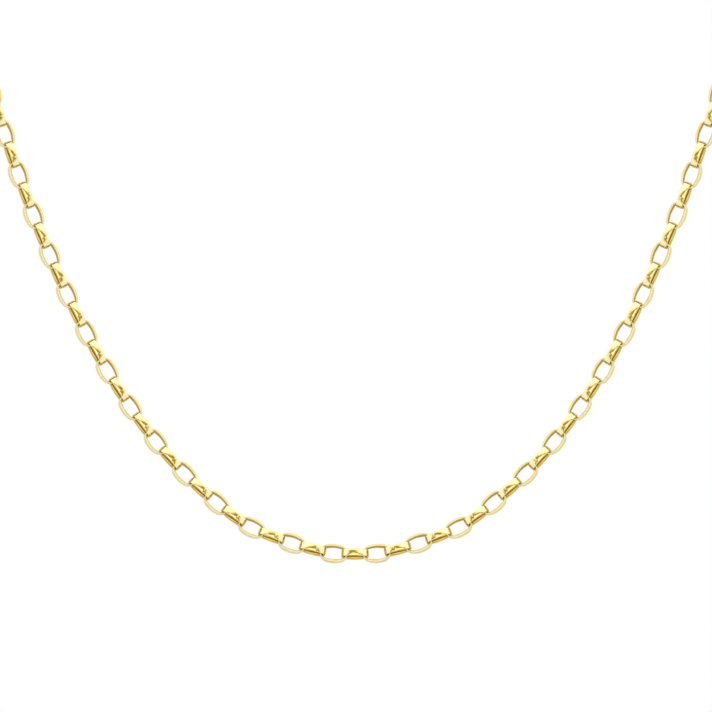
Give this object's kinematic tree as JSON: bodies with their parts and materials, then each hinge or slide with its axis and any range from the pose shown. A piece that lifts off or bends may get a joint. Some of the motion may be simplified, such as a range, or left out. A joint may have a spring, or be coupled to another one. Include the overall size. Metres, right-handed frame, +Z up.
{
  "type": "rolo chain necklace",
  "caption": "Closed necklace of interlocked oval belcher links in flat rounded gold band, with a plain bolt ring at the back.",
  "frame": {"origin": "middle of the back of the loop, where the necklace lies on the back of the neck", "axes": "+Z up, -Y towards the front, where the chain hangs in a curve, +X to the right of the front view"},
  "size_m": [0.1352, 0.0936, 0.1351],
  "materials": {
    "gold_links": "polished yellow gold",
    "gold_clasp": "polished yellow gold"
  },
  "bodies": {
    "root": {"chain_left": "gold_links", "chain_right": "gold_links", "clasp": "gold_clasp"}
  },
  "joints": []
}
